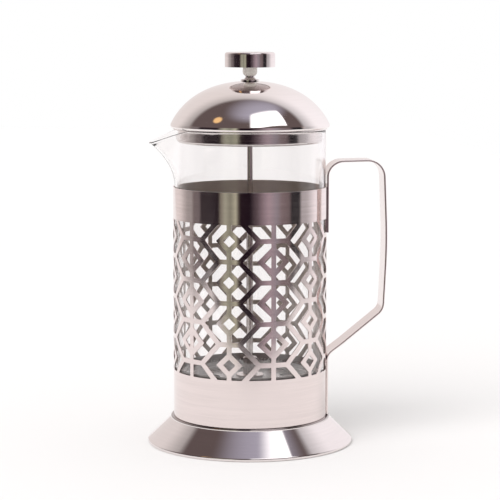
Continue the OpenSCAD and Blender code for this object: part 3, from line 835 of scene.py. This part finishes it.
# %% Flared base
BASE_SHEET = 0.8
half = BASE_SHEET / 2
LEDGE_WIDE, LEDGE_TALL = 1.9, 0.7
FOOT_WIDE, FOOT_TALL = 4, 1.7
ledge_r = sleeve_r + LEDGE_WIDE - half
base_line = bent([(sleeve_r - SHEET - 6, sleeve_low - half, 0), (ledge_r, sleeve_low - half, half + 0.1),
                  (ledge_r, sleeve_low - BASE_SHEET - LEDGE_TALL, half + 0.1),
                  (flare_r - half, FOOT_TALL, 0.8), (flare_r - half, half, 0.5),
                  (flare_r - FOOT_WIDE, half, 0)])
base = turned("flared_base_spun", sheet(base_line, BASE_SHEET))
stands_for(base, flare_polish, "flared_base", "frame")
print("base radius", flare_r)

# %% [markdown]
# ## The handle
# A strip of the same steel, 19 mm wide, bent into one long loop. Its two legs are hollowed across their
# width so that they lie on the round sleeve, and it turns flat as it leaves. The edges are eased, because a
# hand holds them.

# %% Handle section and path
STRIP_WIDE, STRIP_THICK, EASE = 19.0, 1.2, 0.4
HAND_ROOM = 37.7  # from the leg's line to the grip's
LOOP_RISE = 16  # the loop's top above the sleeve
GRIP_FOOT, LEG_LEAVES = 68.2, 39.4  # heights above the sleeve's foot
TOP_LEG = 29.6  # how far the upper leg runs down from the sleeve's top
LEAN = 0.043  # the grip bows outwards at its middle
leg = sleeve_r + WELD_GAP + STRIP_THICK / 2
grip = leg + HAND_ROOM
loop_top = sleeve_high + LOOP_RISE
low_corner = sleeve_low + GRIP_FOOT
middle_z = (loop_top + low_corner) / 2
handle_line = bent([(leg, sleeve_low + 0.2, 0), (leg, sleeve_low + LEG_LEAVES, 8),
                    (grip - LEAN * (middle_z - low_corner), low_corner, 9), (grip, middle_z - 4, 380),
                    (grip - LEAN * (loop_top - middle_z), loop_top + 0.6, 11), (leg, loop_top, 10),
                    (leg, sleeve_high - TOP_LEG, 0)], steps=16)


def strip_section():
    """Section of the strip as (across, through): flat faces with eased edges."""
    corners = []
    for start, sx, sy in ((0, 1, 1), (90, -1, 1), (180, -1, -1), (270, 1, -1)):
        cx, cy = sx * (STRIP_WIDE / 2 - EASE), sy * (STRIP_THICK / 2 - EASE)
        turns = [math.radians(start + a) for a in (0, 22.5, 45, 67.5, 90)]
        corners += [(cx + EASE * math.cos(a), cy + EASE * math.sin(a)) for a in turns]
    full = []
    for a, b in zip(corners, corners[1:] + corners[:1]):
        full.append(a)
        steps = 12 if abs(a[0] - b[0]) > 5 else 1  # flat faces are divided, so that they can be hollowed
        full += [(a[0] + (b[0] - a[0]) * k / steps, a[1] + (b[1] - a[1]) * k / steps)
                 for k in range(1, steps)]
    return full


STEP = 4  # longest step along the strip
FLAT_AFTER = 9  # how far out from the sleeve the hollow has run out


def swept_strip(name, line):
    """The section carried along the line, hollowed where it lies on the sleeve."""
    section = strip_section()
    points, faces, divided = [], [], []
    for a, b in zip(line, line[1:]):
        pieces = max(1, round((b - a).length / STEP))
        divided += [a.lerp(b, k / pieces) for k in range(pieces)]
    line = divided + [line[-1]]
    for i, p in enumerate(line):
        out = shifted(line[max(i - 1, 0):i + 2], 1.0)[min(i, 1)] - p
        share = max(0.0, 1 - (p.x - leg) / FLAT_AFTER)
        for across_strip, through in section:
            x, z = p.x - out.x * through, p.y - out.y * through
            x -= share * (x - math.sqrt(max(0.0, x * x - across_strip * across_strip)))
            points.append((x, across_strip, z))
    count = len(section)
    for i in range(len(line) - 1):
        for j in range(count):
            k = (j + 1) % count
            faces.append((i * count + j, i * count + k, (i + 1) * count + k, (i + 1) * count + j))
    faces += [list(range(count)), list(range((len(line) - 1) * count, len(line) * count))]
    return finish_mesh(make_piece(name, points, faces), sharp=40)


handle = swept_strip("handle_loop", handle_line)
stands_for(handle, brushed_strip, "handle_strip", "frame")
print("handle reaches", round(grip + STRIP_THICK / 2, 1), "mm")

# %% [markdown]
# ## The beaker
# Blown and pressed glass with a fire-polished rim. The wall is one surface, outside and in: at each angle
# round the axis its section is drawn afresh, and over 68 degrees on the spout's side the upper wall is
# carried outwards and its lip dips. Writing the rings directly gives a spout with no join, which a union of
# two solids never has.

# %% Beaker
SPOUT_HALF, SPOUT_REACH, SPOUT_DROOP = 34.0, 16.2, 0.5
FLOOR_THICK, HEEL_OUT, HEEL_IN = 2.4, 6, 4.2
HEEL_TALL = 20  # above the heel the section is a list of heights
SPOUT_SHAPE = 1.2  # above 1 narrows the spout towards its middle
WALL_STEPS, SPOUT_STEPS, RIM_STEPS = 6, 22, 10
spout_low = sleeve_high + 0.9


def spout_share(degrees):
    """Share of the full reach at an angle from the spout's middle."""
    if abs(degrees) >= SPOUT_HALF:
        return 0.0
    return (0.5 + 0.5 * math.cos(math.pi * degrees / SPOUT_HALF)) ** SPOUT_SHAPE


def beaker_section(degrees):
    """Half section at an angle from the spout's middle, from the outside bottom round to the inside."""
    share = spout_share(degrees)
    lip = rim_z - SPOUT_DROOP * SPOUT_REACH * share
    floor_z = glass_low + FLOOR_THICK
    heel_z = glass_low + HEEL_TALL
    edge = glass_wall / 2

    def bulge(z):
        up = max(0.0, (z - spout_low) / (lip - spout_low))
        return SPOUT_REACH * share * min(1.0, up) ** 2

    outside = bent([(0, glass_low, 0), (glass_r, glass_low, HEEL_OUT), (glass_r, heel_z, 0)])
    wall = [heel_z + (spout_low - heel_z) * k / WALL_STEPS for k in range(1, WALL_STEPS)]
    wall += [spout_low + (lip - edge - spout_low) * k / SPOUT_STEPS for k in range(SPOUT_STEPS + 1)]
    outer = [Vector((glass_r + bulge(z), z)) for z in wall]
    rim = [Vector((glass_r - edge + bulge(lip) + edge * math.cos(a), lip - edge + edge * math.sin(a)))
           for a in (math.pi * k / RIM_STEPS for k in range(1, RIM_STEPS))]
    inner = [Vector((glass_r - glass_wall + bulge(z), z)) for z in wall[::-1]]
    inside = bent([(glass_r - glass_wall, heel_z, 0), (glass_r - glass_wall, floor_z, HEEL_IN),
                   (0, floor_z, 0)])
    return outside + outer + rim + inner + inside


def blown(name, around=320):
    """The beaker's rings joined into one closed surface."""
    points, faces = [], []
    for j in range(around):
        degrees = 360 * j / around - 180
        section = beaker_section(degrees)
        a = math.radians(degrees + 180)
        points += [(p.x * math.cos(a), p.x * math.sin(a), p.y) for p in section]
    count = len(section)
    for j in range(around):
        here, after = j * count, (j + 1) % around * count
        faces += [(here + i, after + i, after + i + 1, here + i + 1) for i in range(count - 1)]
    return finish_mesh(make_piece(name, points, faces), sharp=60)


beaker = blown("glass_beaker_blown")
stands_for(beaker, glass, "glass_beaker", "beaker")
print("beaker faces:", len(beaker.data.polygons))

# %% [markdown]
# ## Lid
# The dome is deep drawn and mirror polished, and its edge is rolled in to a hem. Under it sits a drawn pan
# whose flange lies on the glass and whose skirt slips inside it.

# %% Dome
DOME_SHEET = 0.7
HEM_TALL, HEM_BEND, HEM_INSIDE, TAPER = 2.2, 1.2, 3.2, 0.1
CROWN_PULL, SIDE_PULL, SHOULDER = 0.63, 0.9, 0.42  # the dome's handles, as shares of its radius and rise
crown_z = dome_top - DOME_SHEET / 2
edge_r = lid_r - DOME_SHEET / 2 - 0.006  # a hair inside the measured edge
hem_z = hem_low + DOME_SHEET / 2
dome_rise = dome_top - rim_z - SEAT_GAP
bush_body = rod_r + 1.5
bush_hole = bush_body + WELD_GAP
dome_curve = cubic((0, crown_z), (CROWN_PULL * edge_r, crown_z),
                   (SIDE_PULL * edge_r, hem_z + SHOULDER * dome_rise), (edge_r - TAPER, hem_z + HEM_TALL), 90)
hem = bent([(edge_r - TAPER, hem_z + HEM_TALL, 0), (edge_r + TAPER, hem_z, HEM_BEND),
            (glass_r - HEM_INSIDE, hem_z, 0)])
dome_line = [Vector((bush_hole, crown_z))] + [p for p in dome_curve if p.x > bush_hole + 0.6] + hem[1:]
dome = turned("domed_lid", sheet(dome_line, DOME_SHEET), around=288)
stands_for(dome, polished, "lid_dome", "lid")
print("dome", round(lid_r * 2, 1), "mm across")

# %% Pan and skirt
SKIRT_GAP, SKIRT_TALL, PAN_RISE = 0.4, 8.5, 4
skirt = glass_r - glass_wall - SKIRT_GAP - PAN_SHEET / 2
pan_top = rim_z + SEAT_GAP + PAN_SHEET / 2
pan_floor = pan_top - SKIRT_TALL
pan_line = bent([(glass_r + 0.9, pan_top, 0), (skirt, pan_top, 0.6), (skirt, pan_floor, 1.4),
                 (rod_r + 12, pan_floor, 3), (rod_r + 7, pan_floor + PAN_RISE, 3),
                 (rod_r + 1.3, pan_floor + PAN_RISE, 0)])
pan = turned("lid_pan_drawn", sheet(pan_line, PAN_SHEET))
stands_for(pan, turned_bright, "lid_pan", "lid")
print("skirt radius", round(skirt + PAN_SHEET / 2, 2), "mm")

# %% [markdown]
# ## Bush, neck and knob
# Three turned parts on the rod. The small bush in the dome's crown guides the rod, the satin neck swells
# above it, and the knob is a brushed cup pressed over a steel core.

# %% Guide bush, neck and knob
bush_low, bush_high = (corner.z for corner in size_of("guide_bush"))
bush_r = radius_of("guide_bush")
bore = rod_r + SEAT_GAP
waist = bore + 1.0
flange_z = dome_top + WELD_GAP
bush_line = [Vector((bore, bush_low)), Vector((bush_body, bush_low)), Vector((bush_body, flange_z))]
bush_line += bent([(bush_r, flange_z, 0), (bush_r, dome_top + 0.9, 0.4), (waist + 0.3, dome_top + 1.5, 1.4),
                   (waist, bush_high, 0), (bore, bush_high, 0)], steps=8)
bush = turned("guide_bush_turned", bush_line, around=96)
stands_for(bush, turned_bright, "guide_bush", "guide")

neck_low, neck_high = (corner.z for corner in size_of("knob_neck"))
NECK_R, NECK_HEEL = 4.7, 0.9
neck_line = [Vector((rod_r + WELD_GAP, neck_high)), Vector((rod_r + WELD_GAP, neck_low))]
neck_line += bent([(waist, neck_low, 0), (NECK_R, neck_low + NECK_HEEL, NECK_R - waist + 1.2),
                   (NECK_R - 0.1, neck_high, 0)], steps=16)
neck = turned("knob_neck_turned", neck_line, around=96)
stands_for(neck, neck_steel, "knob_neck", "plunger")

KNOB_SHEET = 0.8
knob_r = radius_of("knob_shell") - KNOB_SHEET / 2
knob_top = knob_high - KNOB_SHEET / 2
knob_line = bent([(0, knob_top, 0), (knob_r, knob_top, 1.1), (knob_r, knob_low, 0)])
knob = turned("knob_cup", sheet(knob_line, KNOB_SHEET), around=160)
stands_for(knob, knob_steel, "knob_shell", "plunger")
print("knob", round(2 * (knob_r + KNOB_SHEET / 2), 1), "mm across")

# %% [markdown]
# ## The filter
# From the bottom up: a cross plate, the woven mesh with its upturned rim, a long thin spring that presses
# the rim against the glass, and a plate with a ring of holes. The spring is wound close, like a screen-door
# spring joined end to end, so it is written as one wire that circles the ring's line as it goes round.

# %% Filter mesh and spring
filter_low, filter_high = size_of("filter_mesh")
MESH_SHEET = 0.4
filter_r = filter_high.y - MESH_SHEET / 2
filter_z = filter_low.z + MESH_SHEET / 2
filter_line = bent([(rod_r + WELD_GAP, filter_z, 0), (filter_r, filter_z, 1.6), (filter_r, filter_high.z, 0)])
filter_disc = turned("woven_filter", sheet(filter_line, MESH_SHEET))
stands_for(filter_disc, mesh_steel, "filter_mesh", "plunger")

WIRE, COIL, TURNS, PER_TURN, SIDES = 0.33, 2.2, 110, 12, 6
spring_low, spring_high = size_of("filter_spring")
ring_r = spring_high.y - COIL - WIRE - 0.02  # just inside the measured coil
ring_z = (spring_low.z + spring_high.z) / 2
total = TURNS * PER_TURN


def on_coil(i, reach=COIL):
    """Point i of the wire's centre line. With a reach of 0 it is the ring's line, which the wire circles."""
    ring_turn, coil_turn = 2 * math.pi * i / total, 2 * math.pi * i / PER_TURN
    r = ring_r + reach * math.cos(coil_turn)
    return Vector((r * math.cos(ring_turn), r * math.sin(ring_turn), ring_z + reach * math.sin(coil_turn)))


points, faces = [], []
for i in range(total):
    here, middle = on_coil(i), on_coil(i, 0)
    along = (on_coil(i + 1) - on_coil(i - 1)).normalized()
    out = (here - middle).normalized()
    out = (out - along * out.dot(along)).normalized()
    side = along.cross(out)
    points += [here + WIRE * (out * math.cos(a) + side * math.sin(a))
               for a in (2 * math.pi * k / SIDES for k in range(SIDES))]
    for k in range(SIDES):
        after, next_side = (i + 1) % total * SIDES, (k + 1) % SIDES
        faces.append((i * SIDES + k, i * SIDES + next_side, after + next_side, after + k))
spring = finish_mesh(make_piece("filter_spring_coil", points, faces), sharp=80)
stands_for(spring, turned_bright, "filter_spring", "plunger")
print("spring wire:", len(points), "points")

# %% [markdown]
# ## Measured parts that stay
# The rod, nuts and plates have the right shapes already. They keep their measured meshes and get their
# finishes.

# %% Finishes for the measured parts
# The floor plate lies below the sleeve's foot, so the brushed steel's painted crevice shade darkens all of
# it.
FINISHES = {"base_floor": brushed, "bush_nut": turned_bright, "knob_insert": core_steel,
            "plunger_rod": turned_bright, "hub_nut": turned_bright, "spiral_plate": pressed_steel,
            "cross_plate": pressed_steel, "end_nut": turned_bright}
for node, material in FINISHES.items():
    coat(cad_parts[node], material)
print("finished", len(FINISHES), "measured parts")
